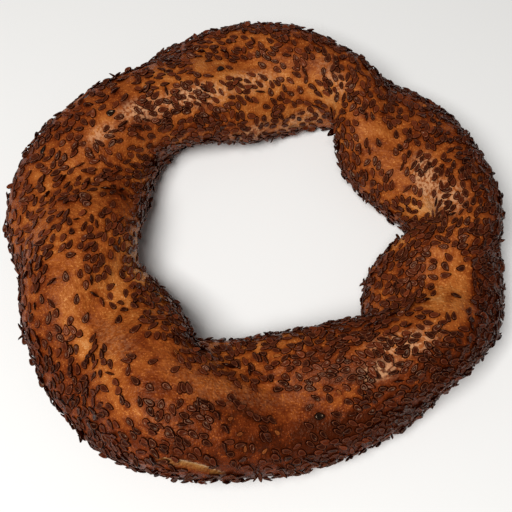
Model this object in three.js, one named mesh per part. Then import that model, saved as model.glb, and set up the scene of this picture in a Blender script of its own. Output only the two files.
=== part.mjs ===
// A simit: a ring of bread made from two strands of dough that are twisted around each other,
// joined end to end and baked until they fuse. Millimetres, +Z up. The ring rests on its flat
// underside at z = 0, and the origin is the centre of that underside.
import * as THREE from "three";
import { mergeVertices } from "three/addons/utils/BufferGeometryUtils.js";

// ---- Driving dimensions ----

// One row for each quarter turn of the twist, going round counter-clockwise seen from above:
// [bearing in degrees, radius of the ring, radius of one strand, half the gap between the
// two strands' centres]. In even rows one strand lies over the other, so the ring is narrow
// and tall. In odd rows the strands lie side by side, so the ring is wide and low.
const TWIST_STATIONS = [
  [1, 61.5, 11.8, 5.5],
  [38, 56.5, 13, 6.5],
  [62, 61.5, 10.5, 4.5],
  [95, 57.5, 15.5, 6],
  [133, 55, 14.5, 5],
  [165, 54.5, 16, 5.5],
  [193, 51, 17, 5],
  [215, 51.5, 15, 6.5],
  [243, 56, 19.5, 4.5],
  [276, 51, 13.5, 6.5],
  [315, 56, 14.5, 5],
  [339, 55.8, 14, 6.5],
];
const FIRST_TWIST = Math.PI / 2; // direction from strand to strand at the first row: straight up
const FUSE_SOFTNESS = 0.16; // 0 leaves a sharp groove between the strands, 1 hides it
const GROOVE_FILL = 0.3; // share of that softness taken back, so that the ridges keep their height

const USUAL_STRAND = 14; // radius of a strand that slumps by just SLUMP
const SLUMP = 0.88; // height over width of such a strand: thicker ones slump more
const STACK_SINK = 0.4; // how far the middle of two stacked strands stands up from a single one
const BASE_FLAT = 1.0; // depth that the tray has pressed flat on every section

// The deep fold on the inside of the ring, beside the crossing at the first row.
const FOLD_BEARING = 7; // degrees
const FOLD_DEPTH = 6;
const FOLD_REACH = 6; // degrees to each side over which the fold fades

const RING_STEPS = 108;
const SECTION_STEPS = 44;

const CRUST = new THREE.MeshStandardMaterial({ color: "#8a4a1e", roughness: 0.5, metalness: 0 });

// ---- The path of the ring and the twist along it ----

function pointOnRing([bearing, radius]) {
  const angle = THREE.MathUtils.degToRad(bearing);
  return new THREE.Vector3(radius * Math.cos(angle), radius * Math.sin(angle), 0);
}

// The sections of the ring, evenly spaced through the twist. Each has its centre, its outward
// direction, the sizes of the strands and the direction from strand to strand.
function ringSections() {
  const path = new THREE.CatmullRomCurve3(TWIST_STATIONS.map(pointOnRing), true, "centripetal");
  const sizePoints = TWIST_STATIONS.map(([, , strand, halfGap]) => new THREE.Vector3(strand, halfGap, 0));
  const sizes = new THREE.CatmullRomCurve3(sizePoints, true, "catmullrom", 0.5);
  const quarterTurns = TWIST_STATIONS.length;
  const sections = [];
  for (let step = 0; step < RING_STEPS; step += 1) {
    const along = step / RING_STEPS;
    const size = sizes.getPoint(along);
    const twist = FIRST_TWIST - quarterTurns * (Math.PI / 2) * along;
    sections.push({ centre: path.getPoint(along), strand: size.x, halfGap: size.y, twist });
  }
  sections.forEach((section, step) => {
    const before = sections[(step + RING_STEPS - 1) % RING_STEPS].centre;
    const after = sections[(step + 1) % RING_STEPS].centre;
    const ahead = after.clone().sub(before).normalize();
    section.outward = new THREE.Vector3(ahead.y, -ahead.x, 0);
  });
  return sections;
}

// ---- The section: two round strands fused into one, then slumped onto the tray ----

// Distance from the section's middle to its surface. The angle is measured from the outward
// direction towards the top.
function reach(section, angle) {
  const fromTwist = angle - section.twist;
  const across = section.halfGap * Math.sin(fromTwist);
  const bridge = Math.hypot(Math.cos(fromTwist), FUSE_SOFTNESS) - GROOVE_FILL * FUSE_SOFTNESS;
  return section.halfGap * bridge + Math.sqrt(section.strand ** 2 - across ** 2);
}

// How much the fold takes off the inner side of a section.
function foldCut(section, angle) {
  const bearing = THREE.MathUtils.radToDeg(Math.atan2(section.centre.y, section.centre.x));
  const inward = Math.max(0, -Math.cos(angle));
  return FOLD_DEPTH * Math.exp(-Math.abs(bearing - FOLD_BEARING) / FOLD_REACH) * inward ** 2;
}

function surfacePoint(section, angle) {
  const radius = reach(section, angle) - foldCut(section, angle);
  const slump = SLUMP * Math.sqrt(USUAL_STRAND / section.strand);
  const stacked = STACK_SINK * section.halfGap * Math.abs(Math.sin(section.twist));
  const middle = slump * (section.strand + stacked) - BASE_FLAT;
  const height = Math.max(0, middle + slump * radius * Math.sin(angle));
  const point = section.centre.clone().addScaledVector(section.outward, radius * Math.cos(angle));
  return point.setZ(height);
}

// ---- The solid ----

// A torus gives the closed net of faces, and each of its vertices moves onto the twisted surface.
function twistedRing() {
  const ring = new THREE.TorusGeometry(1, 0.5, SECTION_STEPS, RING_STEPS);
  const sections = ringSections();
  const position = ring.getAttribute("position");
  const stride = RING_STEPS + 1;
  for (let turn = 0; turn <= SECTION_STEPS; turn += 1) {
    const angle = ((turn % SECTION_STEPS) / SECTION_STEPS) * 2 * Math.PI;
    for (let step = 0; step <= RING_STEPS; step += 1) {
      const point = surfacePoint(sections[step % RING_STEPS], angle);
      position.setXYZ(turn * stride + step, point.x, point.y, point.z);
    }
  }
  ring.deleteAttribute("normal");
  ring.deleteAttribute("uv");
  const solid = mergeVertices(ring, 1e-4);
  solid.computeBoundingBox();
  const middle = solid.boundingBox.getCenter(new THREE.Vector3());
  solid.translate(-middle.x, -middle.y, -solid.boundingBox.min.z);
  solid.computeVertexNormals();
  return solid;
}

const simit = new THREE.Mesh(twistedRing(), CRUST);
simit.name = "simit";

const group = new THREE.Group();
group.add(simit);

export default group;
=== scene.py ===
# %% [markdown]
# # A simit: its crust and its sesame seeds
# A simit is a ring of bread. Two strands of dough are twisted around each other, joined, dipped in
# thinned grape molasses, rolled in sesame seeds and baked until the crust is brown and shiny.
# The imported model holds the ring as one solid, out to the tops of its seeds. This lesson makes
# what the eye sees on it: a browned crust with real relief, and every seed as a small mesh.
#
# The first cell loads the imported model. Everything after it is measured from that model, so the
# looks always fit the solid. Sizes are written in millimetres and turned into metres by MM.

# %% Load the frame
import math

import bmesh
import bpy
import numpy as np
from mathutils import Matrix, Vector, kdtree, noise


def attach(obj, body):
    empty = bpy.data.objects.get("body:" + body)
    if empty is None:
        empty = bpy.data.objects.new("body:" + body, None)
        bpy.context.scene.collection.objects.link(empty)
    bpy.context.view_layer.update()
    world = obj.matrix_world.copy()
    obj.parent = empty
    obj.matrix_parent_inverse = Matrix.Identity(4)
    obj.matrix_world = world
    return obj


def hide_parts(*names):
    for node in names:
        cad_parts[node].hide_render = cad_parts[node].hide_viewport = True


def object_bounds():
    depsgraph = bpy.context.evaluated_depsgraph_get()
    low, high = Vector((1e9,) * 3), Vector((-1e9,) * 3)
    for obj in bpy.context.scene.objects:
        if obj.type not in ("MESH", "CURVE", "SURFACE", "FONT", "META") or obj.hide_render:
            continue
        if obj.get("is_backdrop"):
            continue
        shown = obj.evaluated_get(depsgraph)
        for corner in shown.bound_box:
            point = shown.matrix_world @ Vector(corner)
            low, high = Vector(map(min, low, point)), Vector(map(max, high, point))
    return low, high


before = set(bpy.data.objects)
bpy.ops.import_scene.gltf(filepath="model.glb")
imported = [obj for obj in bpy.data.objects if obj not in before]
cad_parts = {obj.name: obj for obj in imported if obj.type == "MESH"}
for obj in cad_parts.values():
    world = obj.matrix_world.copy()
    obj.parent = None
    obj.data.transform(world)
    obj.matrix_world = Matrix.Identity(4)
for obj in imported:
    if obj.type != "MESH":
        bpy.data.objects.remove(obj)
MM = 0.001
SEED_OF_CHANCE = 7
noise.seed_set(SEED_OF_CHANCE)
chance = np.random.default_rng(SEED_OF_CHANCE)

cad_low, cad_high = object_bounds()
print("ring measures", [round(side / MM, 1) for side in cad_high - cad_low], "mm")

# %% [markdown]
# ## Camera
# The ring lies on a table and the camera looks down on it steeply from the near side. A lens of
# about 65 mm from 27 cm away shows the near side a little larger than the far side, as a hand-held
# close view does. The camera is aimed with to_track_quat, which turns its -Z axis along a direction.

# %% Camera
CAMERA_AT = Vector((0.1, -132.0, 256.8)) * MM
LOOK_AT = Vector((1.0, -8.0, 11.3)) * MM
LENS_MM = 65.4

camera = bpy.data.objects.new("camera", bpy.data.cameras.new("camera"))
camera.data.lens = LENS_MM
camera.data.sensor_width = 36.0
camera.location = CAMERA_AT
camera.rotation_euler = (LOOK_AT - CAMERA_AT).to_track_quat("-Z", "Y").to_euler()
bpy.context.scene.collection.objects.link(camera)
bpy.context.scene.camera = camera
print("camera is", round((LOOK_AT - CAMERA_AT).length / MM), "mm from the ring")

# %% [markdown]
# ## Finding the way round the ring
# Browning, bare patches and seeds are easier to place with two angles than with x, y and z:
# the bearing round the ring (0 at +X, counter-clockwise) and the angle around the dough's own
# section (0 on the outer side, 90 on top, 180 facing the hole, 270 underneath). The middle of the
# section differs from place to place, so it is measured from the solid at every few degrees.

# %% Bearing and section angle of any point
BEARING_STEP = 5.0
SLICES = int(360 / BEARING_STEP)


def corners_of(node):
    places = np.empty(len(node.data.vertices) * 3)
    node.data.vertices.foreach_get("co", places)
    return places.reshape(-1, 3)


def smoothed(values):
    return (np.roll(values, 1) + values + np.roll(values, -1)) / 3


def section_middles(places):
    """The radius and height of the section's middle, and its half width, at each slice."""
    radius = np.hypot(places[:, 0], places[:, 1])
    bearing = np.degrees(np.arctan2(places[:, 1], places[:, 0])) % 360
    slice_of = np.round(bearing / BEARING_STEP).astype(int) % SLICES
    inner, outer, top = np.full(SLICES, 9.0), np.zeros(SLICES), np.zeros(SLICES)
    np.minimum.at(inner, slice_of, radius)
    np.maximum.at(outer, slice_of, radius)
    np.maximum.at(top, slice_of, places[:, 2])
    return smoothed((inner + outer) / 2), smoothed(top / 2), smoothed((outer - inner) / 2)


def at_bearing(values, bearing):
    return np.interp(bearing / BEARING_STEP, np.arange(SLICES + 1), np.append(values, values[0]))


def ring_angles(places):
    """The bearing and the section angle of each point, in degrees."""
    bearing = np.degrees(np.arctan2(places[:, 1], places[:, 0])) % 360
    out = np.hypot(places[:, 0], places[:, 1]) - at_bearing(MIDDLE_RADIUS, bearing)
    up = places[:, 2] - at_bearing(MIDDLE_HEIGHT, bearing)
    return bearing, np.degrees(np.arctan2(up, out)) % 360


MIDDLE_RADIUS, MIDDLE_HEIGHT, HALF_WIDTH = section_middles(corners_of(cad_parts["simit"]))
widths = (2 * HALF_WIDTH / MM).round()
print("section is", widths.min(), "to", widths.max(), "mm wide")

# %% [markdown]
# ## Patches
# A baked ring is not even: here the crust is bare, there it is thick with seeds, and the oven has
# browned one side more than the other. Each such place is one patch: its bearing and section angle,
# its half length along the ring and half width around it in millimetres, how far it leans from the
# ring's direction in degrees, and its strength. A patch fades out softly, like paint from a sponge.

# %% A soft patch on the ring
def turn_between(angle, other):
    return (angle - other + 180) % 360 - 180


def apart(bearing, around, at, lean=0.0):
    """How far points lie from a place, in millimetres along and across a direction that leans."""
    along = np.radians(turn_between(bearing, at[0])) * at_bearing(MIDDLE_RADIUS, bearing) / MM
    over = np.radians(turn_between(around, at[1])) * at_bearing(HALF_WIDTH, bearing) / MM
    c, s = math.cos(math.radians(lean)), math.sin(math.radians(lean))
    return along * c + over * s, over * c - along * s


def patch(bearing, around, at, half_length, half_width, lean, strength):
    """The strength of one patch at each of the given ring angles."""
    along, across = apart(bearing, around, at, lean)
    far = (along / half_length) ** 2 + (across / half_width) ** 2
    return strength * np.exp(-far ** 2)


def patches(bearing, around, rows):
    return sum(patch(bearing, around, *row) for row in rows)


# %% [markdown]
# ## The dough
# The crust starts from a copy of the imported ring. Its loose triangles are merged and paired into
# quads, two rounds of Catmull-Clark subdivision make it smooth, and then it moves inwards by the
# depth of the seed layer, so that the seeds and not the crust reach the solid's surface.
# Subdivision is done by the modifier and applied at once, because the relief needs its vertices.

# %% A smooth, finer copy of the ring
SEED_LAYER = 0.5 * MM
PAIRING_LIMIT = math.radians(60)


def merged_copy(node):
    shape = bmesh.new()
    shape.from_mesh(node.data)
    bmesh.ops.remove_doubles(shape, verts=shape.verts, dist=0.001 * MM)
    bmesh.ops.join_triangles(
        shape, faces=shape.faces, angle_face_threshold=PAIRING_LIMIT, angle_shape_threshold=PAIRING_LIMIT
    )
    return shape


def as_object(shape, name):
    mesh = bpy.data.meshes.new(name)
    shape.to_mesh(mesh)
    shape.free()
    made = bpy.data.objects.new(name, mesh)
    bpy.context.scene.collection.objects.link(made)
    return made


def subdivided(thing, rounds):
    """Applies a subdivision surface to the object's mesh."""
    smoother = thing.modifiers.new("smoother", "SUBSURF")
    smoother.levels = rounds
    smoother.render_levels = rounds
    finished = bpy.data.meshes.new_from_object(thing.evaluated_get(bpy.context.evaluated_depsgraph_get()))
    thing.modifiers.remove(smoother)
    thing.data = finished
    return thing


def normals_of(thing):
    normals = np.empty(len(thing.data.vertices) * 3)
    thing.data.vertices.foreach_get("normal", normals)
    return normals.reshape(-1, 3)


def move_corners(thing, places):
    thing.data.vertices.foreach_set("co", places.ravel())
    thing.data.update()


crust = subdivided(as_object(merged_copy(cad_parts["simit"]), "crust"), 2)
crust_places = corners_of(crust) - SEED_LAYER * normals_of(crust)
move_corners(crust, crust_places)
crust_bearing, crust_around = ring_angles(crust_places)
print("crust has", len(crust.data.polygons), "faces")

# %% [markdown]
# ## Relief of the crust
# Hand-rolled dough has soft lumps a finger wide, and its skin wrinkles and blisters as it bakes.
# Each of these is one scale of noise. Ridged noise, one minus its size, gives the sharp crests of
# wrinkles, and a noise that counts only above a level gives separate blisters.

# %% Lumps, wrinkles and blisters
LUMPS = (13 * MM, 0.40 * MM)  # how far apart, and how high
WRINKLES = (3.4 * MM, 0.19 * MM)
BLISTERS = (1.9 * MM, 0.22 * MM)
BLISTER_LEVEL = 0.25
LOWEST = 0.2 * MM  # the crust's lowest place above the floor


def noise_at(places, spacing, shift=0.0):
    """Smooth noise from about -1 to 1, its bumps about one spacing apart.

    Each use has a shift of its own, so that no two patterns line up.
    """
    offset = Vector((shift, -shift, 0.7 * shift))
    return np.array([noise.noise(Vector(place) / spacing + offset) for place in places])


def relief(places):
    lumps = LUMPS[1] * noise_at(places, LUMPS[0])
    wrinkles = WRINKLES[1] * (0.5 - np.abs(noise_at(places, WRINKLES[0], 3.1)) * 2)
    blisters = BLISTERS[1] * np.maximum(0, noise_at(places, BLISTERS[0], 7.7) - BLISTER_LEVEL) * 2
    return lumps + wrinkles + blisters


crust_normals = normals_of(crust)
crust_places = crust_places + relief(crust_places)[:, None] * crust_normals
crust_places[:, 2] = np.maximum(crust_places[:, 2], LOWEST)

# %% [markdown]
# ## The tear
# Low on the near side the crust split as the dough rose. The split is a thin crescent whose floor
# lies deeper and has baked golden. Its upper lip curls up, and pale crumb shows right under that lip.
# Only numbers across the tear are needed, so it is cut by moving vertices, not by a Boolean.

# %% A crescent tear in the crust
TEAR_AT = (258.0, 22.5)  # bearing and section angle of its middle
TEAR_HALF_LENGTH = 6.8
TEAR_HALF_WIDTH = 1.1
TEAR_BOW = 1.6  # how far its ends bend down
TEAR_LEAN = -17.0
TEAR_DEPTH = 0.9 * MM
TEAR_LIP = 0.35 * MM
LIP_AT, LIP_WIDTH = 1.5, 0.5  # in half widths across the tear
PALE_AT, PALE_WIDTH = 0.85, 0.38
CLEAR_OF_SEEDS = 2.2
BEYOND_TEAR = 9.0


def tear_across(bearing, around):
    """How far across the tear each point lies: 0 is its middle and 1 its upper edge."""
    along, across = apart(bearing, around, TEAR_AT, TEAR_LEAN)
    end = np.clip(1 - (along / TEAR_HALF_LENGTH) ** 2, 1e-4, 1)
    across = (across + TEAR_BOW * (1 - end)) / (TEAR_HALF_WIDTH * np.sqrt(end))
    return np.where(np.abs(along) < TEAR_HALF_LENGTH, across, BEYOND_TEAR)


across_tear = tear_across(crust_bearing, crust_around)
tear = np.exp(-across_tear ** 4)
lip = np.exp(-((across_tear - LIP_AT) / LIP_WIDTH) ** 2)
pale_edge = np.exp(-((across_tear - PALE_AT) / PALE_WIDTH) ** 2)
crust_places += (TEAR_LIP * lip - TEAR_DEPTH * tear)[:, None] * crust_normals
move_corners(crust, crust_places)
print("tear covers", int((tear > 0.5).sum()), "vertices")

# %% [markdown]
# ## Where the seeds lie
# The ring was rolled in seeds by hand, so they lie thickly on its outer side and towards the hole,
# and thinly on top, where the dough was held or rubbed. The table names the bare and the crowded
# places. Between them a soft noise makes seeds gather in drifts.

# %% Bare and crowded places
BARE = [
    ((206, 82), 7, 5, -25, 1.0),
    ((212, 78), 8, 6, 20, 1.0),
    ((216, 104), 5, 5, 0, 0.6),
    ((210, 136), 8, 6, -20, 0.92),
    ((224, 122), 7, 4, 0, 0.7),
    ((227, 88), 7, 6, 10, 0.75),
    ((236, 92), 14, 12, 0, 0.75),
    ((222, 98), 14, 8, 0, 0.5),
    ((244, 98), 9, 6, 0, 0.9),
    ((209, 62), 8, 4, 0, 0.4),
    ((257, 98), 8, 7, -15, 0.95),
    ((266, 86), 9, 5.5, -25, 0.95),
    ((276, 72), 9, 6, -30, 1.0),
    ((283, 82), 6, 5, -20, 0.9),
    ((286, 50), 9, 5.5, -32, 1.0),
    ((281, 33), 8, 3, -15, 0.6),
    ((265, 38), 8, 4, 0, 0.4),
    ((340, 68), 8, 8.5, -20, 1.0),
    ((333, 68), 8, 10, 0, 1.0),
    ((327, 68), 7, 6, 14, 0.95),
    ((39, 127), 8, 5, 28, 0.95),
    ((24, 146), 12, 5, -32, 0.95),
    ((10, 128), 9, 4, -45, 0.9),
    ((94, 108), 10, 5, 0, 0.6),
    ((104, 88), 6, 4, 60, 0.7),
    ((84, 64), 4, 2, -80, 0.7),
    ((67, 98), 7, 3.5, -65, 0.7),
    ((88, 157), 7, 3, -10, 0.6),
    ((93, 106), 14, 8, 0, 0.55),
    ((88, 138), 16, 9, 0, 0.40),
    ((66, 142), 12, 9, 0, 0.40),
    ((4, 150), 10, 8, 0, 0.35),
    ((190, 165), 14, 8, 0, 0.35),
    ((240, 118), 9, 6, 0, 0.30),
    ((136, 84), 18, 10, 0, 0.25),
    ((244, 60), 10, 6, 0, 0.4),
    ((122, 22), 16, 6, 0, 0.3),
    ((205, 178), 26, 6, 0, 0.5),
    ((62, 152), 9, 5, 0, 0.6),
    ((34, 132), 9, 7, 0, 0.35),
    ((0, 164), 9, 5, 0, 0.85),
    ((72, 180), 9, 4, -20, 0.7),
    ((166, 70), 34, 24, 0, 0.34),
    ((150, 150), 24, 9, 0, 0.30),
    ((185, 15), 40, 12, 0, 0.30),
    ((134, 74), 6, 4.5, 45, 0.5),
    ((176, 144), 8, 5, -10, 0.9),
    ((152, 132), 7, 4, -20, 0.5),
    ((186, 62), 6, 4, 30, 0.5),
    ((262, 8), 12, 3, 0, 0.4),
    ((255, 30), 50, 14, 0, 0.32),
    ((222, 40), 20, 12, 0, 0.20),
]
CROWDED = [
    ((118, 150), 14, 6, 0, 0.7),
    ((112, 40), 24, 8, 0, 0.4),
    ((192, 135), 9, 6, -20, 0.8),
    ((238, 130), 9, 4, 10, 0.6),
    ((250, 138), 14, 5, 0, 0.6),
    ((270, 116), 9, 4, 0, 0.9),
    ((318, 125), 14, 8, 0, 0.6),
    ((327, 150), 15, 8, 10, 1.0),
    ((308, 60), 14, 9, 0, 0.6),
    ((22, 75), 18, 10, 0, 0.9),
    ((0, 70), 12, 9, 0, 0.8),
    ((349, 108), 9, 8, 0, 1.0),
    ((331, 120), 9, 6, 0, 0.8),
    ((350, 28), 34, 13, 0, 1.5),
    ((303, 125), 14, 11, 0, 2.0),
    ((332, 38), 14, 9, 0, 0.8),
    ((50, 80), 14, 9, 0, 0.7),
    ((62, 125), 7, 5, 0, 0.5),
    ((305, 12), 30, 8, 0, 0.5),
    ((225, 8), 36, 8, 0, 0.8),
    ((341, 130), 12, 5, 0, 1.8),
    ((256, 62), 7, 5, 0, 0.8),
]
SEEDS_PER_MM2 = 0.190
TOP_SHARE, FLANKS_MORE = 0.75, 0.6
TOP_AT = 85  # section angle of the most rubbed line
DRIFT_SPACING, DRIFT_LIMITS = 6.5 * MM, (0.25, 2)
UNDERSIDE, UNDERSIDE_SHARE = (215, 325), 0.6
BAREST, LEAST_SHARE = 0.97, 0.02


def seed_density(places, bearing, around):
    """Seeds for each square millimetre at each place."""
    flank = 0.5 - 0.5 * np.cos(np.radians(2 * (around - TOP_AT)))  # 1 on the flanks, 0 on top
    even = SEEDS_PER_MM2 * (TOP_SHARE + FLANKS_MORE * flank)
    below = (around > UNDERSIDE[0]) & (around < UNDERSIDE[1])
    even = np.where(below, even * UNDERSIDE_SHARE, even)
    drifts = np.clip(1 + noise_at(places, DRIFT_SPACING, 12.3), *DRIFT_LIMITS)
    bare = np.clip(1 - BAREST * patches(bearing, around, BARE), LEAST_SHARE, 1)
    return even * drifts * bare * (1 + patches(bearing, around, CROWDED))


near_tear = np.exp(-((across_tear / CLEAR_OF_SEEDS) ** 4))
density = seed_density(crust_places, crust_bearing, crust_around) * (1 - near_tear)
print("seeds for each mm2: least", density.min().round(3), "most", density.max().round(3))

# %% [markdown]
# ## Scattering
# Points are dropped on the crust at random, more where the density is high, and a point too close
# to an earlier one is refused. That is dart throwing, and it keeps seeds from growing through each
# other. A seed is longer than wide, so distance along a seed counts for less than distance across
# it. A few are let through all the same: they are the seeds that lie on top of others.
# Some seeds catch the eye, such as the black ones, a chain of four and the pale ones on the dark
# band. These are laid first, one by one, and the random ones keep clear of them.

# %% Seeds laid one by one
LAID_BY_HAND = [  # bearing, section angle, heading from +X, pitch, roll, kind
    (101, 107, 235, 3, 0, "sesame_black"),
    (143, 92, 30, 3, 0, "sesame_black"),
    (162, 45, 60, 3, 0, "sesame_black"),
    (286, 43, 5, 3, 0, "sesame_black"),
    (277, 94, 0, 3, -14, "sesame_dark"),
    (279.8, 92, -8, 3, -14, "sesame_dark"),
    (282.5, 90, 3, 3, -14, "sesame_dark"),
    (285.4, 84, -12, 3, 0, "sesame_dark"),
    (284, 101, 125, 3, 20, "sesame_dark"),
    (286, 92, 155, 3, 0, "sesame_dark"),
    (286, 68, 145, 3, 0, "sesame_dark"),
    (284, 58, 40, 3, 0, "sesame_brown"),
    (290, 64, 110, 3, 0, "sesame_dark"),
    (290, 38, 165, 3, 0, "sesame_dark"),
    (238, 79, 80, 3, 0, "sesame_russet"),
    (236, 83, 170, 3, 0, "sesame_russet"),
    (275, 41, 150, 3, 0, "sesame_golden"),
    (265, 61, 20, 3, 0, "sesame_golden"),
    (267, 49, 200, 3, 0, "sesame_golden"),
    (268, 36, 100, 3, 0, "sesame_golden"),
    (272, 30, 60, 3, 0, "sesame_golden"),
    (284, 354, 10, 3, 0, "sesame_golden"),
    (177, 110, 10, 3, 50, "sesame_dark"),
    (178.6, 112, 10, 3, 50, "sesame_dark"),
    (180.2, 114, 10, 3, 50, "sesame_dark"),
    (271, 142, -60, 3, 50, "sesame_dark"),
    (272.4, 139, -60, 3, 50, "sesame_dark"),
    (273.8, 134, -60, 3, 50, "sesame_dark"),
    (19.3, 174, 80, 3, 45, "sesame_russet"),
    (18.3, 171, 80, 3, 45, "sesame_russet"),
    (17.3, 168, 80, 3, 45, "sesame_russet"),
    (16.3, 165, 80, 3, 45, "sesame_russet"),
    (222, 71, 55, 3, 0, "sesame_dark"),
    (228, 76, 120, 3, 0, "sesame_dark"),
    (236, 89, 160, 3, 0, "sesame_dark"),
    (242, 99, 20, 3, 0, "sesame_brown"),
    (248, 103, 40, 3, 0, "sesame_brown"),
    (211, 77, 95, 3, 0, "sesame_dark"),
    (341, 92, -60, 3, 0, "sesame_dark"),
    (339, 89, 10, 3, 0, "sesame_brown"),
    (334, 66, -40, 3, 0, "sesame_dark"),
    (326, 67, 95, 3, 0, "sesame_brown"),
    (327, 63, 80, 3, 0, "sesame_brown"),
    (324, 70, 20, 3, 0, "sesame_russet"),
    (205, 78, 100, 3, 0, "sesame_dark"),
    (199, 88, 10, 3, 0, "sesame_dark"),
    (306, 348, -80, 62, 0, "sesame_dark"),
    (87, 188, -100, 40, 0, "sesame_dark"),
    (85.5, 190, -60, 55, 20, "sesame_dark"),
    (84, 188, -20, 35, 0, "sesame_dark"),
    (270, 8, -120, 50, 0, "sesame_dark"),
    (271.5, 6, -80, 35, 30, "sesame_dark"),
    (276, 4, -60, 55, 0, "sesame_dark"),
    (350, 6, -30, 50, 0, "sesame_dark"),
    (352, 20, 10, 40, 0, "sesame_dark"),
    (334, 356, 0, 45, 0, "sesame_brown"),
]
HANDFUL = len(LAID_BY_HAND)
HAND_ROOM = 1.5  # how much more room a listed seed keeps round itself


def nearest_corner(bearing, around):
    """The crust's vertex that lies closest to the given ring angles."""
    return int(np.argmin(np.hypot(*apart(crust_bearing, crust_around, (bearing, around)))))


by_hand = [nearest_corner(row[0], row[1]) for row in LAID_BY_HAND]
print(len(by_hand), "seeds are laid by hand")

# %% Dropping seeds on the crust
SEED_LENGTH, SEED_WIDTH, SEED_THICKNESS = 2.98 * MM, 1.68 * MM, 0.66 * MM
TRIES_FOR_EACH = 4


def unit(vectors):
    return vectors / np.linalg.norm(vectors, axis=-1, keepdims=True)


def triangles_of(thing):
    thing.data.calc_loop_triangles()
    corners = np.empty(len(thing.data.loop_triangles) * 3, np.int32)
    thing.data.loop_triangles.foreach_get("vertices", corners)
    return corners.reshape(-1, 3)


def random_drops(places, normals, density):
    """Random places on the crust, their normals, and how many seeds the density asks for."""
    faces = triangles_of(crust)
    a, b, c = (places[faces[:, k]] for k in range(3))
    area = np.linalg.norm(np.cross(b - a, c - a), axis=1) / 2 / MM ** 2
    wanted = area * density[faces].mean(1)
    count = int(wanted.sum() * TRIES_FOR_EACH)
    chosen = faces[chance.choice(len(faces), count, p=wanted / wanted.sum())]
    weights = chance.dirichlet((1, 1, 1), count)[:, :, None]
    return (places[chosen] * weights).sum(1), (normals[chosen] * weights).sum(1), int(wanted.sum())


crust_normals = normals_of(crust)
drops, drop_normals, wanted = random_drops(crust_places, crust_normals, density)
drops = np.vstack([crust_places[by_hand], drops])
drop_normals = unit(np.vstack([crust_normals[by_hand], drop_normals]))
print(len(drops), "places to try for", wanted, "seeds")

# %% Which way they point
COMBED, COMBED_SPACING = 0.6, 9 * MM  # how strongly neighbours point the same way
ALONG_STRANDS = 1.2  # how strongly they follow the strands
LOOSE = 0.8  # how strongly each one points its own way
STRAND_LEAN = math.radians(-32)  # from the ring's direction to the strands'


def headings(places, up):
    """Which way each seed points: along the strands and combed by a slow noise, then scattered."""
    bearing = np.radians(ring_angles(places)[0])
    along = np.stack([-np.sin(bearing), np.cos(bearing), 0 * bearing], axis=1)
    strand = along * math.cos(STRAND_LEAN) + np.cross(up, along) * math.sin(STRAND_LEAN)
    slow = unit(np.array([noise.noise_vector(Vector(place) / COMBED_SPACING) for place in places]))
    loose = LOOSE * unit(chance.normal(size=(len(places), 3)))
    either_way = chance.choice((-1, 1), (len(places), 1))
    pointing = either_way * (ALONG_STRANDS * strand + COMBED * slow) + loose
    for index, row in enumerate(LAID_BY_HAND):
        heading = math.radians(row[2])
        pointing[index] = (math.cos(heading), math.sin(heading), 0)
    return unit(pointing - up * (pointing * up).sum(1, keepdims=True))


drop_headings = headings(drops, drop_normals)

# %% Keeping those that have room
CLOSEST = 1.36 * MM  # between the middles of two seeds lying side by side
STACKED_SHARE = 0.14  # of the places without room, how many are let through
STACKED_CLOSEST = 0.75 * MM
SLENDER = SEED_WIDTH / SEED_LENGTH


def width_apart(between, heading):
    """The distance between two seeds, with what lies along the heading shortened to a seed's width."""
    along = float(between @ heading)
    return math.sqrt(max(float(between @ between) - (1 - SLENDER ** 2) * along ** 2, 0))


def spread_out(wanted):
    """Keeps the drops that have room, and says which of them lie on others."""
    cell = CLOSEST / SLENDER
    may_lie_on_top = chance.random(len(drops)) < STACKED_SHARE
    cells, kept, stacked = {}, [], []
    for index, drop in enumerate(drops):
        home = tuple(int(v) for v in np.floor(drop / cell))
        near = [
            other
            for dx in (-1, 0, 1)
            for dy in (-1, 0, 1)
            for dz in (-1, 0, 1)
            for other in cells.get((home[0] + dx, home[1] + dy, home[2] + dz), ())
        ]
        gap = min(
            (
                min(width_apart(drop - drops[other], drop_headings[k]) for k in (index, other))
                / (HAND_ROOM if other < HANDFUL else 1)
                for other in near
            ),
            default=1.0,
        )
        on_top = STACKED_CLOSEST < gap < CLOSEST and may_lie_on_top[index]
        if index < HANDFUL or gap >= CLOSEST or on_top:
            cells.setdefault(home, []).append(index)
            kept.append(index)
            stacked.append(on_top and index >= HANDFUL)
        if len(kept) >= wanted:
            break
    return np.array(kept), np.array(stacked)


kept, stacked = spread_out(wanted)
drops, drop_normals, drop_headings = drops[kept], drop_normals[kept], drop_headings[kept]
print(len(drops), "seeds of", wanted, "wanted, and", int(stacked.sum()), "of them lie on others")

# %% [markdown]
# ## One sesame seed
# A sesame seed is a flat drop: pointed at one end, round at the other, with a thin raised rim
# round a slightly hollow face. Thousands are needed, so the master has only 40 faces. It starts
# as a sphere with few segments, and each of its rings of vertices gets its own reach and height:
# the hollow of the face, the top of the rim, the outline, and the middle of the keeled underside.

# %% The master seed
SEED_SEGMENTS, SEED_RINGS = 10, 4
SEED_TAPER = 0.27  # how much narrower the pointed half is
SEED_POINT = 0.18  # how far the tip is drawn out
# Each ring of vertices goes by its height on the unit sphere.
RING_REACH = {1: 0.0, 0.7: 0.47, 0: 0.68, -0.7: 1.0, -1: 0.0}  # share of the outline's reach
RING_HEIGHT = {1: 0.25, 0.7: 0.27, 0: 0.5, -0.7: 0.0, -1: -0.5}  # share of the thickness
RING_LIGHT_AND_SHADE = {1: 0.5, 0.7: 0.48, 0: 0.10, -0.7: 1.0, -1: 1.0}  # 0 painted highlight on the rim, 0.5 face, 1 dark edge of char and painted shade


def ring_of(corner):
    return min(RING_REACH, key=lambda height: abs(height - corner.co.z))


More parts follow.
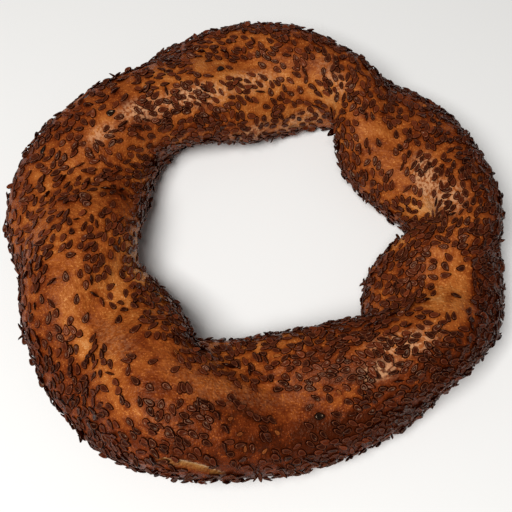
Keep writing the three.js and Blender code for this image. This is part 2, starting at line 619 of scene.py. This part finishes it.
def master_seed():
    """A seed lying flat, its point towards +X: its vertices, faces, and numbers for its painted rim
    highlight and its edge of char and painted shade.
    """
    shape = bmesh.new()
    bmesh.ops.create_uvsphere(shape, u_segments=SEED_SEGMENTS, v_segments=SEED_RINGS, radius=1)
    rim_light_and_shade = []
    for corner in shape.verts:
        ring = ring_of(corner)
        angle = math.atan2(corner.co.y, corner.co.x)
        forward, sideways = RING_REACH[ring] * math.cos(angle), RING_REACH[ring] * math.sin(angle)
        tip = 1 + SEED_POINT * max(0, math.cos(angle)) ** 6
        corner.co.x = SEED_LENGTH / 2 * forward * tip
        corner.co.y = SEED_WIDTH / 2 * sideways * (1 - SEED_TAPER * math.cos(angle))
        corner.co.z = SEED_THICKNESS * RING_HEIGHT[ring]
        rim_light_and_shade.append(RING_LIGHT_AND_SHADE[ring])
    shape.verts.index_update()
    corners = np.array([corner.co[:] for corner in shape.verts])
    faces = [[corner.index for corner in face.verts] for face in shape.faces]
    shape.free()
    return corners, faces, np.array(rim_light_and_shade)


seed_corners, seed_faces, seed_light_and_shade = master_seed()
print("a seed has", len(seed_faces), "faces")

# %% [markdown]
# ## Laying the seeds
# Most seeds lie flat with their faces along the crust, a little sunk in, where the molasses held
# them. Where they are crowded they overlap like roof tiles. Some lean on others, some stand on edge
# and a few stick up. The oven toasted them unevenly, which the toast patches say.
# Each kind of seed becomes one joined mesh. Its vertices are the master's, scaled, turned and moved
# for each seed, which NumPy does for all of them at once. Instances would be lighter to edit, but
# a joined mesh keeps each seed's own toast, and its own tile on the map that a bake needs.

# %% Position, turn and size of every seed
SUNK = 0.06 * MM  # from the crust up to the middle of a lying seed
STACK_HEIGHT = 0.42 * MM
ROLL_LIFT, PITCH_LIFT = 0.45, 0.35  # share of the half width and half length that a turn lifts
SIZE_SPREAD, SIZE_LIMITS = 0.10, (0.75, 1.25)
CROWD_REACH = 2.3 * MM
MOST_CROWDED = 6
TILE_PITCH = 1.9  # degrees for each neighbour within reach
TILE_LIFT = 0.04 * MM
LYING_TILT = 7.5
LEANING_PITCH = (8, 22)
ON_EDGE_SHARE = 0.08
ON_EDGE_ROLL = (45, 80)
STANDING_SHARE = 0.010
STANDING_PITCH = (30, 60)
TOAST_SPREAD = 0.26  # from one seed to the next, where 0 is darkest and 1 is palest
TOAST_INNER = 0.12  # how much paler they are towards the hole
TOAST_PATCHES = [
    ((205, 175), 26, 9, 0, 0.35),
    ((190, 25), 27, 14, 0, 0.32),
    ((312, 32), 30, 14, 0, -0.38),
    ((350, 40), 38, 13, 0, -0.32),
    ((302, 125), 13, 9, 0, -0.25),
    ((225, 12), 30, 9, 0, -0.20),
    ((92, 115), 15, 8, 0, 0.25),
    ((232, 40), 24, 12, 0, -0.15),
    ((326, 140), 16, 9, 0, -0.15),
    ((100, 45), 34, 9, 0, 0.20),
    ((40, 150), 12, 6, 0, 0.15),
    ((270, 60), 28, 18, -20, -0.25),
    ((15, 90), 20, 9, 0, -0.20),
    ((125, 140), 12, 8, 0, -0.15),
    ((27, 112), 6, 6, -40, -0.45),
    ((13, 92), 5, 5, 0, -0.35),
    ((120, 146), 6, 5, 0, -0.35),
    ((272, 125), 8, 4, -20, -0.45),
    ((260, 72), 7, 5, 0, -0.35),
    ((308, 78), 7, 6, 0, -0.30),
]


def turned_about(vectors, axes, degrees):
    """Rodrigues' rotation of each vector about its own axis."""
    angle = np.radians(degrees)[:, None]
    sideways = np.cross(axes, vectors)
    along = axes * (axes * vectors).sum(1, keepdims=True)
    return vectors * np.cos(angle) + sideways * np.sin(angle) + along * (1 - np.cos(angle))


def tree_of(places):
    """A search tree that finds the nearest of many places quickly."""
    tree = kdtree.KDTree(len(places))
    for index, place in enumerate(places):
        tree.insert(place, index)
    tree.balance()
    return tree


seed_tree = tree_of(drops)
crowd = np.minimum([len(seed_tree.find_range(drop, CROWD_REACH)) - 1 for drop in drops], MOST_CROWDED)


def seed_tilts():
    """How far each seed is pitched along its length and rolled about it, in degrees."""
    count = len(drops)
    pitch = chance.normal(0, LYING_TILT, count) + TILE_PITCH * crowd
    roll = chance.normal(0, LYING_TILT, count)
    pitch = np.where(stacked, chance.uniform(*LEANING_PITCH, count), pitch)
    on_edge = chance.random(count) < ON_EDGE_SHARE
    roll = np.where(on_edge, chance.uniform(*ON_EDGE_ROLL, count), roll)
    standing = chance.random(count) < STANDING_SHARE
    pitch = np.where(standing, chance.uniform(*STANDING_PITCH, count), pitch)
    pitch[:HANDFUL] = [row[3] for row in LAID_BY_HAND]
    roll[:HANDFUL] = [row[4] for row in LAID_BY_HAND]
    return pitch, roll


def seed_frames(pitch, roll):
    """The long axis, side and upward direction of each seed."""
    long, up = drop_headings, drop_normals
    side = np.cross(up, long)
    long, up = turned_about(long, side, -pitch), turned_about(up, side, -pitch)
    return long, turned_about(side, long, roll), turned_about(up, long, roll)


pitch, roll = seed_tilts()
long, side, up = seed_frames(pitch, roll)
lift = np.where(stacked, STACK_HEIGHT, SUNK + TILE_LIFT * crowd)
lift = lift + ROLL_LIFT * SEED_WIDTH / 2 * np.abs(np.sin(np.radians(roll)))
lift = lift + PITCH_LIFT * SEED_LENGTH / 2 * np.abs(np.sin(np.radians(pitch)))
seed_middles = drops + drop_normals * lift[:, None]
seed_sizes = np.clip(chance.normal(1, SIZE_SPREAD, (len(drops), 3)), *SIZE_LIMITS)
seed_bearing, seed_around = ring_angles(drops)
seed_toast = 0.5 - TOAST_INNER * np.cos(np.radians(seed_around))
seed_toast = seed_toast + patches(seed_bearing, seed_around, TOAST_PATCHES)
seed_toast = np.clip(seed_toast + TOAST_SPREAD * chance.normal(size=len(drops)), 0, 1)

# %% Joined meshes, one for each kind of seed
KINDS = {
    "sesame_dark": 0.37,
    "sesame_brown": 0.37,
    "sesame_russet": 0.256,
    "sesame_golden": 0.004,
    "sesame_black": 0.0,  # only laid by hand
}
GOLDEN_SIZE = 0.66
TILE_MARGIN = 0.05


def corners_of_seeds(which):
    sized = seed_corners[None] * seed_sizes[which][:, None]
    frames = np.stack([long[which], side[which], up[which]], axis=1)
    placed = np.einsum("nkc,ncx->nkx", sized, frames) + seed_middles[which][:, None]
    below = np.minimum(placed[:, :, 2].min(1), 0)
    placed[:, :, 2] -= below[:, None]
    return placed


def tile_of_seed():
    """The master's corners, face by face, on a unit tile: top in the left half, underside in the right."""
    low, high = seed_corners[:, :2].min(0), seed_corners[:, :2].max(0)
    flat = TILE_MARGIN + (1 - 2 * TILE_MARGIN) * (seed_corners[:, :2] - low) / (high - low)
    tile = []
    for face in seed_faces:
        half = 0.5 if seed_corners[face, 2].min() < 0 else 0.0
        tile += [(half + 0.5 * flat[corner, 1], flat[corner, 0]) for corner in face]
    return np.array(tile)


def lay_tiles(mesh, count):
    """A map for baking, on which every seed has a square tile to itself."""
    side = math.ceil(math.sqrt(count))
    places = np.array([(n % side, n // side) for n in range(count)])
    flat = (places[:, None] + tile_of_seed()[None]) / side
    mesh.uv_layers.new(name="OFBake").uv.foreach_set("vector", flat.astype(np.float32).ravel())


def joined_seeds(name, which):
    """One mesh of the given seeds, with toast and the numbers for the painted rim highlight and edge shade
    stored on its vertices for the material.
    """
    placed = corners_of_seeds(which)
    per_seed = len(seed_corners)
    faces = [[k + n * per_seed for k in face] for n in range(len(which)) for face in seed_faces]
    mesh = bpy.data.meshes.new(name)
    mesh.from_pydata(placed.reshape(-1, 3).tolist(), [], faces)
    mesh.shade_smooth()
    store(mesh, "toast", np.repeat(seed_toast[which], per_seed))
    store(mesh, "rim_light_and_shade", np.tile(seed_light_and_shade, len(which)))
    lay_tiles(mesh, len(which))
    seeds = bpy.data.objects.new(name, mesh)
    bpy.context.scene.collection.objects.link(seeds)
    return seeds


def store(mesh, name, values):
    """Keeps a number for each vertex under a name that materials can read."""
    mesh.attributes.new(name, "FLOAT", "POINT").data.foreach_set("value", values.astype(np.float32))


kind_of = chance.choice(len(KINDS), len(drops), p=list(KINDS.values()))
kind_of[:HANDFUL] = [list(KINDS).index(row[5]) for row in LAID_BY_HAND]
seed_sizes[kind_of == list(KINDS).index("sesame_golden")] *= GOLDEN_SIZE
seed_pieces = {name: joined_seeds(name, np.flatnonzero(kind_of == k)) for k, name in enumerate(KINDS)}
for name, piece in seed_pieces.items():
    piece.data.calc_loop_triangles()
    print(name, "has", len(piece.data.loop_triangles), "triangles")

# %% [markdown]
# ## Browning, painted shade and sheen
# The crust's colour follows the oven's heat, the glaze and painted shade. One number for each vertex says
# how light
# it is: 0 is nearly burnt mahogany, 1 is pale straw. The outer flanks, the underside and the folds are
# darker, partly browning and partly painted shade, the bare tops are golden, and the side towards the hole
# is paler. Near each seed the crust is darker, partly glaze that pooled and baked dark and partly painted
# shade from the seed, so the distance to the nearest seed darkens it too. On a few high places a dusty tan
# bloom is painted, partly dried glaze and partly painted sheen, which is a second number.

# %% How near each part of the crust is to a seed
GLAZE_AND_SHADE_HALO_REACH = 1.3 * MM  # where the halo is a third of its strength
COLLAR_REACH, COLLAR_WIDTH, COLLAR_HEIGHT = 1.55 * MM, 0.45 * MM, 0.10 * MM

seed_distance = np.array([seed_tree.find(place)[2] for place in crust_places])
# Darker near each seed: partly pooled glaze and partly painted shade that stands in for the seed's shadow.
glaze_and_shade_halo = np.exp(-((seed_distance / GLAZE_AND_SHADE_HALO_REACH) ** 2))
collar = np.exp(-(((seed_distance - COLLAR_REACH) / COLLAR_WIDTH) ** 2))
move_corners(crust, crust_places + (COLLAR_HEIGHT * collar)[:, None] * crust_normals)
print("the halos cover", round(100 * float((glaze_and_shade_halo > 0.3).mean())), "% of the crust")

# %% Tone of the crust
TONE_PATCHES = [
    ((207, 84), 8, 7, -20, 0.05),
    ((212, 78), 7, 7, 20, -0.02),
    ((252, 96), 26, 9, -10, -0.10),
    ((190, 25), 27, 14, 0, 0.14),
    ((60, 130), 10, 8, 0, 0.08),
    ((168, 92), 16, 10, 0, -0.06),
    ((38, 128), 11, 6, 0, 0.02),
    ((24, 148), 11, 5, -30, -0.02),
    ((72, 182), 12, 6, -20, 0.26),
    ((65, 144), 10, 8, 0, 0.14),
    ((97, 134), 12, 8, 0, 0.22),
    ((70, 92), 7, 6, -60, 0.02),
    ((84, 64), 5, 3, -80, 0.16),
    ((105, 84), 6, 5, 60, 0.06),
    ((205, 174), 24, 7, 0, 0.42),
    ((210, 136), 7, 5, -20, 0.06),
    ((358, 160), 14, 7, 0, 0.36),
    ((336, 70), 11, 8, 6, 0.15),
    ((333, 58), 8, 5, 0, 0.14),
    ((332, 73), 3, 2, 7, -0.20),
    ((90, 130), 16, 6, 0, 0.12),
    ((274, 66), 16, 8, -20, -0.16),
    ((285, 27), 16, 6, -20, -0.27),
    ((262, 33), 12, 5, 0, -0.12),
    ((290, 8), 30, 8, -12, -0.16),
    ((312, 32), 26, 13, 0, -0.08),
    ((176, 144), 8, 5, -10, -0.24),
    ((158, 148), 12, 8, 0, -0.12),
    ((152, 68), 10, 7, 0, -0.10),
    ((245, 135), 16, 5, 0, -0.02),
    ((285, 112), 10, 6, 0, -0.14),
    ((300, 95), 14, 12, 0, -0.10),
    ((332, 165), 14, 8, 0, -0.12),
    ((325, 118), 13, 9, 0, 0.04),
    ((345, 20), 44, 12, 0, -0.12),
    ((40, 65), 18, 9, 0, -0.10),
    ((225, 15), 40, 10, 0, -0.10),
    ((341, 130), 11, 5, 0, -0.18),
    ((261, 60), 8, 5, 0, -0.24),
    ((65, 100), 5, 4, 0, -0.14),
    ((88, 115), 6, 4, 0, -0.14),
    ((83, 143), 6, 4, 0, 0.14),
    ((123, 96), 8, 5, 0, 0.15),
    ((134, 89), 6, 5, 0, -0.14),
    ((169, 64), 9, 7, 0, 0.15),
    ((218, 56), 10, 5, -20, 0.30),
    ((230, 64), 9, 5, 0, 0.20),
    ((203, 65), 6, 5, 0, -0.14),
    ((214, 38), 9, 4, 0, -0.15),
    ((4, 184), 9, 5, 0, 0.26),
    ((329, 90), 5, 4, 0, 0.14),
    ((302, 76), 7, 5, 0, -0.18),
    ((311, 82), 6, 6, 0, 0.16),
    ((321, 69), 6, 5, 0, 0.12),
    ((138, 116), 6, 6, 0, -0.16),
    ((17, 112), 7, 5, 0, -0.14),
    ((31, 139), 7, 4, 0, -0.16),
    ((105, 160), 8, 5, 0, -0.14),
    ((272, 160), 9, 5, 0, 0.18),
    ((290, 150), 9, 5, 0, 0.14),
    ((270, 10), 14, 5, 0, -0.10),
    ((99, 56), 10, 7, 0, 0.14),
    ((296, 85), 6, 4, 0, -0.10),
    ((244, 72), 6, 5, 0, -0.13),
    ((240, 54), 6, 4, 0, 0.12),
    ((234, 104), 6, 5, 0, -0.12),
    ((111, 112), 6, 5, 0, 0.12),
    ((67, 171), 7, 4, 0, -0.16),
    ((357, 108), 7, 5, 0, 0.12),
    ((218, 86), 6, 5, 0, -0.14),
    ((168, 22), 9, 5, 0, -0.16),
    ((187, 5), 8, 5, 0, 0.12),
    ((163, 88), 7, 5, 0, 0.14),
    ((216, 127), 6, 4, 0, 0.14),
    ((207, 59), 5, 4, 0, -0.08),
    ((24, 189), 7, 4, 0, -0.12),
    ((153, 167), 9, 5, 0, 0.14),
]
# Dusty tan patches, partly dried glaze bloom and partly painted sheen.
BLOOM_AND_SHEEN_PATCHES = [
    ((14, 122), 9, 5, -50, 0.85),
    ((3, 112), 7, 5.5, 0, 0.75),
    ((5, 150), 6, 4, -50, 0.5),
    ((90, 126), 9, 5, 0, 0.6),
    ((113, 131), 13, 4, -8, 0.8),
    ((134, 117), 9, 3.5, -25, 0.7),
    ((151, 100), 5, 3, -35, 0.6),
    ((66, 98), 5, 3, -65, 0.2),
    ((60, 118), 5, 4, 0, 0.5),
    ((70, 196), 9, 4, 0, 0.6),
    ((91, 182), 10, 4, 0, 0.6),
    ((313, 85), 9, 3.5, -33, 0.8),
    ((303, 75), 5, 3, -15, 0.7),
    ((228, 90), 9, 6, 10, 0.15),
    ((262, 90), 18, 6, -20, 0.10),
]
MIDDLE_TONE = 0.56
# The flanks and underside darken partly from browning and partly as painted shade; the hole side is paler.
FLANK_BROWNING_AND_SHADE, INNER_LIGHTER = 0.14, 0.08
MOTTLING, WIDE_MOTTLES, SMALL_MOTTLES = 0.16, 9 * MM, 3.5 * MM


def tone_of_crust(places, bearing, around):
    flank = 0.5 - 0.5 * np.sin(np.radians(around))
    wide, small = noise_at(places, WIDE_MOTTLES, 5.5), noise_at(places, SMALL_MOTTLES, 9.1)
    mottled = MOTTLING * (wide + 0.5 * small)
    # Darker on the flanks and underside, partly browning and partly painted shade; paler towards the hole.
    slope = FLANK_BROWNING_AND_SHADE * flank + INNER_LIGHTER * np.cos(np.radians(around))
    return MIDDLE_TONE - slope + mottled + patches(bearing, around, TONE_PATCHES)


store(crust.data, "tone", np.clip(tone_of_crust(crust_places, crust_bearing, crust_around), 0, 1))
store(crust.data, "tear", tear)
store(crust.data, "pale_edge", pale_edge)
store(crust.data, "glaze_and_shade_halo", glaze_and_shade_halo)
store(crust.data, "bloom_and_sheen", np.clip(patches(crust_bearing, crust_around, BLOOM_AND_SHEEN_PATCHES), 0, 1))


def lay_map(name):
    """A map of the crust: millimetres along the ring, and millimetres around its section."""
    corners = np.empty(len(crust.data.loops), np.int32)
    crust.data.loops.foreach_get("vertex_index", corners)
    starts, sizes = (np.empty(len(crust.data.polygons), np.int32) for _ in range(2))
    crust.data.polygons.foreach_get("loop_start", starts)
    crust.data.polygons.foreach_get("loop_total", sizes)
    first = np.repeat(corners[starts], sizes)
    along = crust_bearing[first] + turn_between(crust_bearing[corners], crust_bearing[first])
    over = crust_around[first] + turn_between(crust_around[corners], crust_around[first])
    reach = np.array([MIDDLE_RADIUS.mean(), HALF_WIDTH.mean()])
    flat = np.radians(np.stack([along, over], axis=1)) * reach / MM
    crust.data.uv_layers.new(name=name).uv.foreach_set("vector", flat.astype(np.float32).ravel())


lay_map("skin")
crust.data.shade_smooth()

# %% [markdown]
# ## Materials
# Materials are graphs of nodes. These helpers add one node each and fill its inputs, either with a
# value or with another node's output, so that each material below reads from top to bottom.

# %% Helpers for node graphs
def fill(tree, node, **inputs):
    """Gives a node's inputs a value or an output. They go by name, _ for a space, or by _number."""
    for name, value in inputs.items():
        socket = node.inputs[int(name[1:]) if name[1:].isdigit() else name.replace("_", " ")]
        if isinstance(value, bpy.types.NodeSocket):
            tree.links.new(value, socket)
        else:
            socket.default_value = value
    return node


def add_node(tree, kind, settings=None, **inputs):
    made = tree.nodes.new(kind)
    for name, value in (settings or {}).items():
        setattr(made, name, value)
    return fill(tree, made, **inputs)


def ramp(tree, amount, stops):
    """A colour ramp through the given stops, each a position and a colour."""
    made = add_node(tree, "ShaderNodeValToRGB", Fac=amount)
    elements = made.color_ramp.elements
    while len(elements) < len(stops):
        elements.new(0.5)
    for element, (place, colour) in zip(elements, stops):
        element.position = place
        element.color = (*colour, 1)
    return made.outputs["Color"]


def calculated(tree, operation, **inputs):
    return add_node(tree, "ShaderNodeMath", {"operation": operation}, **inputs).outputs[0]


def plus(tree, a, b, factor=1.0):
    """a plus b times the factor."""
    return calculated(tree, "MULTIPLY_ADD", _0=b, _1=factor, _2=a)


def minus(tree, a, amount):
    return calculated(tree, "SUBTRACT", _0=a, _1=amount)


def times(tree, a, b):
    return calculated(tree, "MULTIPLY", _0=a, _1=b)


def rise(tree, amount, start, end):
    """Rises smoothly from 0 to 1 as the amount goes from start to end."""
    smooth = {"interpolation_type": "SMOOTHSTEP"}
    limits = {"From_Min": start, "From_Max": end}
    return add_node(tree, "ShaderNodeMapRange", smooth, Value=amount, **limits).outputs[0]


def blend(tree, amount, a, b):
    """Colour a where the amount is 0, and colour b where it is 1."""
    mixed = add_node(tree, "ShaderNodeMix", {"data_type": "RGBA"}, Factor=amount, _6=a, _7=b)
    return mixed.outputs[2]


def noise_texture(tree, place, scale, detail):
    made = add_node(tree, "ShaderNodeTexNoise", Vector=place, Scale=scale, Detail=detail)
    return made.outputs["Fac"]


def grain(tree, spacing, detail=2.0):
    """Noise on the object's own coordinates, its bumps about one spacing apart."""
    place = add_node(tree, "ShaderNodeTexCoord").outputs["Object"]
    return noise_texture(tree, place, 1 / spacing, detail)


def attribute(tree, name):
    return add_node(tree, "ShaderNodeAttribute", {"attribute_name": name}).outputs["Fac"]


def new_material(name):
    material = bpy.data.materials.new(name)
    material.use_nodes = True
    tree = material.node_tree
    return material, tree, tree.nodes["Principled BSDF"]


# %% [markdown]
# ## Baked crust
# The tone picks a colour from a ramp that runs from mahogany over amber to straw. Two grains and
# streaks along the ring break it up, and light specks are painted glints, standing for the glints on tiny
# blisters. The thin glaze shines a little, in the crust's own warm colour, so the specular is low and
# tinted.
# The finest grain is a bump, like the pores of orange peel.

# %% Crust material
CRUST_RAMP = [
    (0.00, (0.045, 0.0065, 0.001)),
    (0.25, (0.122, 0.019, 0.003)),
    (0.50, (0.265, 0.060, 0.009)),
    (0.75, (0.425, 0.132, 0.025)),
    (1.00, (0.570, 0.255, 0.085)),
]
COARSE_GRAIN, FINE_GRAIN, STREAKS = 0.40, 0.34, 0.20  # how much each changes the tone
# The first darkens the crust near seeds, partly pooled glaze and partly painted shade; the second lightens
# it in specks that are painted glints.
GLAZE_AND_SHADE_HALO_DARKER, PAINTED_GLINTS_LIGHTER = 0.36, 0.26
NOISE_MEAN = 0.51  # what grains, streaks and painted glints add up to on the whole
STREAK_LEAN = math.radians(25)
STREAK_SCALE = (0.30, 0.9, 1)  # for each millimetre along the ring and around it
# spacing of the light specks that are painted glints
PAINTED_GLINT_SPACING = 0.50 * MM
# The pale tan of the bloom, partly dried glaze and partly painted sheen.
BLOOM_AND_SHEEN_COLOUR = (0.60, 0.30, 0.145, 1)
BLOOM_AND_SHEEN_SPACING, LEAST_BLOOM_AND_SHEEN = 0.9 * MM, 0.08
WARM_SHINE = (1.0, 0.66, 0.42, 1)
DULL_SHINE = 0.14
CRUMB_RAMP = [(0.3, (0.150, 0.045, 0.010)), (0.7, (0.300, 0.130, 0.032))]
PALE_CRUMB = (0.95, 0.66, 0.36, 1)


def streaks(tree):
    """Noise drawn out along the ring, on the crust's own map."""
    skin = add_node(tree, "ShaderNodeUVMap", {"uv_map": "skin"}).outputs["UV"]
    turn = {"Rotation": (0, 0, STREAK_LEAN), "Scale": STREAK_SCALE}
    drawn = add_node(tree, "ShaderNodeMapping", Vector=skin, **turn).outputs[0]
    return noise_texture(tree, drawn, 1.0, 3.0)


def crust_skin(tree):
    """The colour of the crust away from the tear."""
    # painted glints: light specks in the crust's colour that stand for glints on tiny blisters
    painted_glints = rise(tree, grain(tree, PAINTED_GLINT_SPACING, 1.0), 0.58, 0.70)
    tone = plus(tree, attribute(tree, "tone"), grain(tree, 2.2 * MM, 3.0), COARSE_GRAIN)
    tone = plus(tree, tone, grain(tree, 0.75 * MM, 2.0), FINE_GRAIN)
    tone = plus(tree, tone, streaks(tree), STREAKS)
    # darker near seeds: pooled glaze and painted shade
    tone = plus(tree, tone, attribute(tree, "glaze_and_shade_halo"), -GLAZE_AND_SHADE_HALO_DARKER)
    tone = plus(tree, tone, painted_glints, PAINTED_GLINTS_LIGHTER)
    skin = ramp(tree, minus(tree, tone, NOISE_MEAN), CRUST_RAMP)
    # The bloom mixes in a pale tan, partly dried glaze and partly painted sheen, broken into patches.
    patchy = rise(tree, grain(tree, BLOOM_AND_SHEEN_SPACING, 3.0), 0.42, 0.58)
    bloom_and_sheen_share = times(tree, attribute(tree, "bloom_and_sheen"), plus(tree, LEAST_BLOOM_AND_SHEEN, patchy, 1 - LEAST_BLOOM_AND_SHEEN))
    return blend(tree, bloom_and_sheen_share, skin, BLOOM_AND_SHEEN_COLOUR)


def crust_material():
    material, tree, shader = new_material("baked_crust")
    crumb = ramp(tree, grain(tree, 0.8 * MM), CRUMB_RAMP)
    crumb = blend(tree, attribute(tree, "pale_edge"), crumb, PALE_CRUMB)
    skin = blend(tree, attribute(tree, "tear"), crust_skin(tree), crumb)
    rough = plus(tree, 0.30, grain(tree, 1.4 * MM), 0.24)
    pores = plus(tree, grain(tree, 0.62 * MM, 1.0), grain(tree, 1.6 * MM, 2.0), 1.2)
    pores = plus(tree, pores, streaks(tree), 0.6)
    bump = add_node(tree, "ShaderNodeBump", Height=pores, Strength=0.8, Distance=0.30 * MM)
    fill(tree, shader, Base_Color=skin, Roughness=rough, Normal=bump.outputs["Normal"])
    fill(tree, shader, Specular_IOR_Level=DULL_SHINE, Specular_Tint=WARM_SHINE)
    return material


crust.data.materials.append(crust_material())
print("crust material has", len(crust.data.materials[0].node_tree.nodes), "nodes")

# %% [markdown]
# ## Roasted sesame
# A roasted seed is dark brown, with a painted highlight along the rim round its face, a nearly black edge
# that is partly char and partly painted shade, and a dull, slightly oily shine. A number on each vertex
# says where on the seed a point is, toast makes each seed its own shade, and a fine grain mottles its
# face.

# %% Sesame materials
SESAME_SHADES = {
    "sesame_dark": [(0.0, (0.018, 0.0032, 0.0015)), (1.0, (0.056, 0.0120, 0.0050))],
    "sesame_brown": [(0.0, (0.028, 0.0048, 0.0020)), (1.0, (0.084, 0.0170, 0.0062))],
    "sesame_russet": [(0.0, (0.045, 0.0070, 0.0025)), (1.0, (0.130, 0.0250, 0.0075))],
    "sesame_golden": [(0.0, (0.140, 0.0330, 0.0070)), (1.0, (0.300, 0.0850, 0.0160))],
    "sesame_black": [(0.0, (0.004, 0.0015, 0.0010)), (1.0, (0.010, 0.0040, 0.0030))],
}
# Pale colour of the rim: a painted highlight.
SEED_RIM_HIGHLIGHT = (0.240, 0.066, 0.023, 1)
# Nearly black edge: partly char and partly painted shade.
SEED_EDGE_CHAR_AND_SHADE = (0.011, 0.0011, 0.0004, 1)
RIM_HIGHLIGHT_STRENGTH, BLACK_RIM_HIGHLIGHT_STRENGTH = 0.52, 0.05
BLACK_SHINE = 0.40


def sesame_material(name, shades):
    material, tree, shader = new_material(name)
    black = name == "sesame_black"
    toast = plus(tree, attribute(tree, "toast"), grain(tree, 0.7 * MM), 0.4)
    face = ramp(tree, minus(tree, toast, 0.2), shades)
    # Painted highlight along the top of the rim.
    painted_rim_highlight = rise(tree, attribute(tree, "rim_light_and_shade"), 0.40, 0.0)
    painted_rim_highlight = times(tree, painted_rim_highlight, BLACK_RIM_HIGHLIGHT_STRENGTH if black else RIM_HIGHLIGHT_STRENGTH)
    colour = blend(tree, painted_rim_highlight, face, SEED_RIM_HIGHLIGHT)
    # Dark edge of the seed: partly char and partly painted shade.
    colour = blend(tree, rise(tree, attribute(tree, "rim_light_and_shade"), 0.52, 0.84), colour, SEED_EDGE_CHAR_AND_SHADE)
    mottled = grain(tree, 0.35 * MM)
    bump = add_node(tree, "ShaderNodeBump", Height=mottled, Strength=0.25, Distance=0.05 * MM)
    fill(tree, shader, Base_Color=colour, Roughness=0.24, Normal=bump.outputs["Normal"])
    shine = BLACK_SHINE if black else DULL_SHINE
    fill(tree, shader, Specular_IOR_Level=shine, Specular_Tint=WARM_SHINE)
    return material


for name, piece in seed_pieces.items():
    piece.data.materials.append(sesame_material(name, SESAME_SHADES[name]))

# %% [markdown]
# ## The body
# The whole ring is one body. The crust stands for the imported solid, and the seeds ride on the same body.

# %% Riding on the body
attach(crust, "root")
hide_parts("simit")
for piece in seed_pieces.values():
    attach(piece, "root")

# %% [markdown]
# ## Floor and light
# A plain pale floor, a large soft light high above the near left and a dim white surrounding give
# the broad pale shine along the tops of the strands and leave the far flank dark.

# %% Floor, lights and world
FLOOR_SIDE = 3.0
FLOOR_COLOUR = (0.82, 0.81, 0.79, 1)
KEY_AT = Vector((-0.19, -0.33, 0.71))
KEY_SIDE = 0.36
KEY_POWER = 7.6
AMBIENT = 0.15

floor_shape = bmesh.new()
bmesh.ops.create_grid(floor_shape, x_segments=1, y_segments=1, size=FLOOR_SIDE / 2)
floor = as_object(floor_shape, "floor")
floor_material, floor_tree, floor_shader = new_material("floor_white")
fill(floor_tree, floor_shader, Base_Color=FLOOR_COLOUR, Roughness=0.9)
floor.data.materials.append(floor_material)
floor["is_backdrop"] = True

key = bpy.data.objects.new("key_light", bpy.data.lights.new("key_light", "AREA"))
key.data.size = KEY_SIDE
key.data.energy = KEY_POWER
key.location = KEY_AT
key.rotation_euler = (-KEY_AT).to_track_quat("-Z", "Y").to_euler()
bpy.context.scene.collection.objects.link(key)

world = bpy.data.worlds.new("world")
bpy.context.scene.world = world
world.use_nodes = True
world.node_tree.nodes["Background"].inputs["Color"].default_value = (1, 1, 1, 1)
world.node_tree.nodes["Background"].inputs["Strength"].default_value = AMBIENT
bpy.context.scene.view_settings.view_transform = "Standard"

# %% [markdown]
# ## Measuring and finishing
# The last line prints how far the looks stand out past the imported solid's box on each side.

# %% Sizes and finish
look_low, look_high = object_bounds()
proud = (*(cad_low - look_low), *(look_high - cad_high))
print("looks stand proud by", [round(side / MM, 2) for side in proud], "mm")
